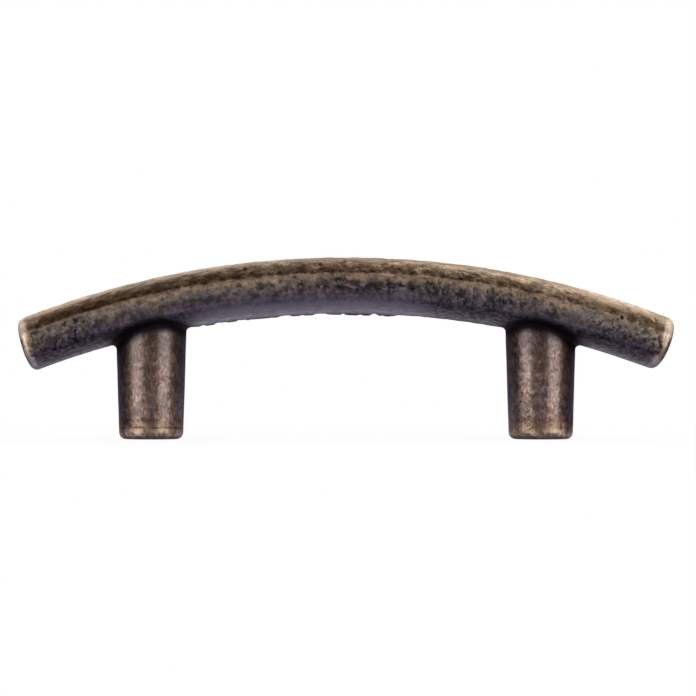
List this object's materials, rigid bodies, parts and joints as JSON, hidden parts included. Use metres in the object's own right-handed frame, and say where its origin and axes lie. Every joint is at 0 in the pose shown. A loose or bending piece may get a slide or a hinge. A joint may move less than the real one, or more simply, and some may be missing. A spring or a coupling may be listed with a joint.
{
  "type": "bar pull",
  "caption": "Arched bar pull: a crowned, gently curved bar on round posts, cast in one piece and gripped to open a drawer or cabinet door.",
  "frame": {"origin": "on the face that meets the door, midway between the two screw holes", "axes": "+X along the bar, +Y across it, +Z away from the door, from the feet of the posts towards the bar"},
  "size_m": [0.1282, 0.0164, 0.0356],
  "materials": {
    "aged_brass": "dark aged patina, mottled and pitted, rubbed brighter along the edges"
  },
  "bodies": {
    "root": {"pull_casting": "aged_brass"}
  },
  "joints": []
}
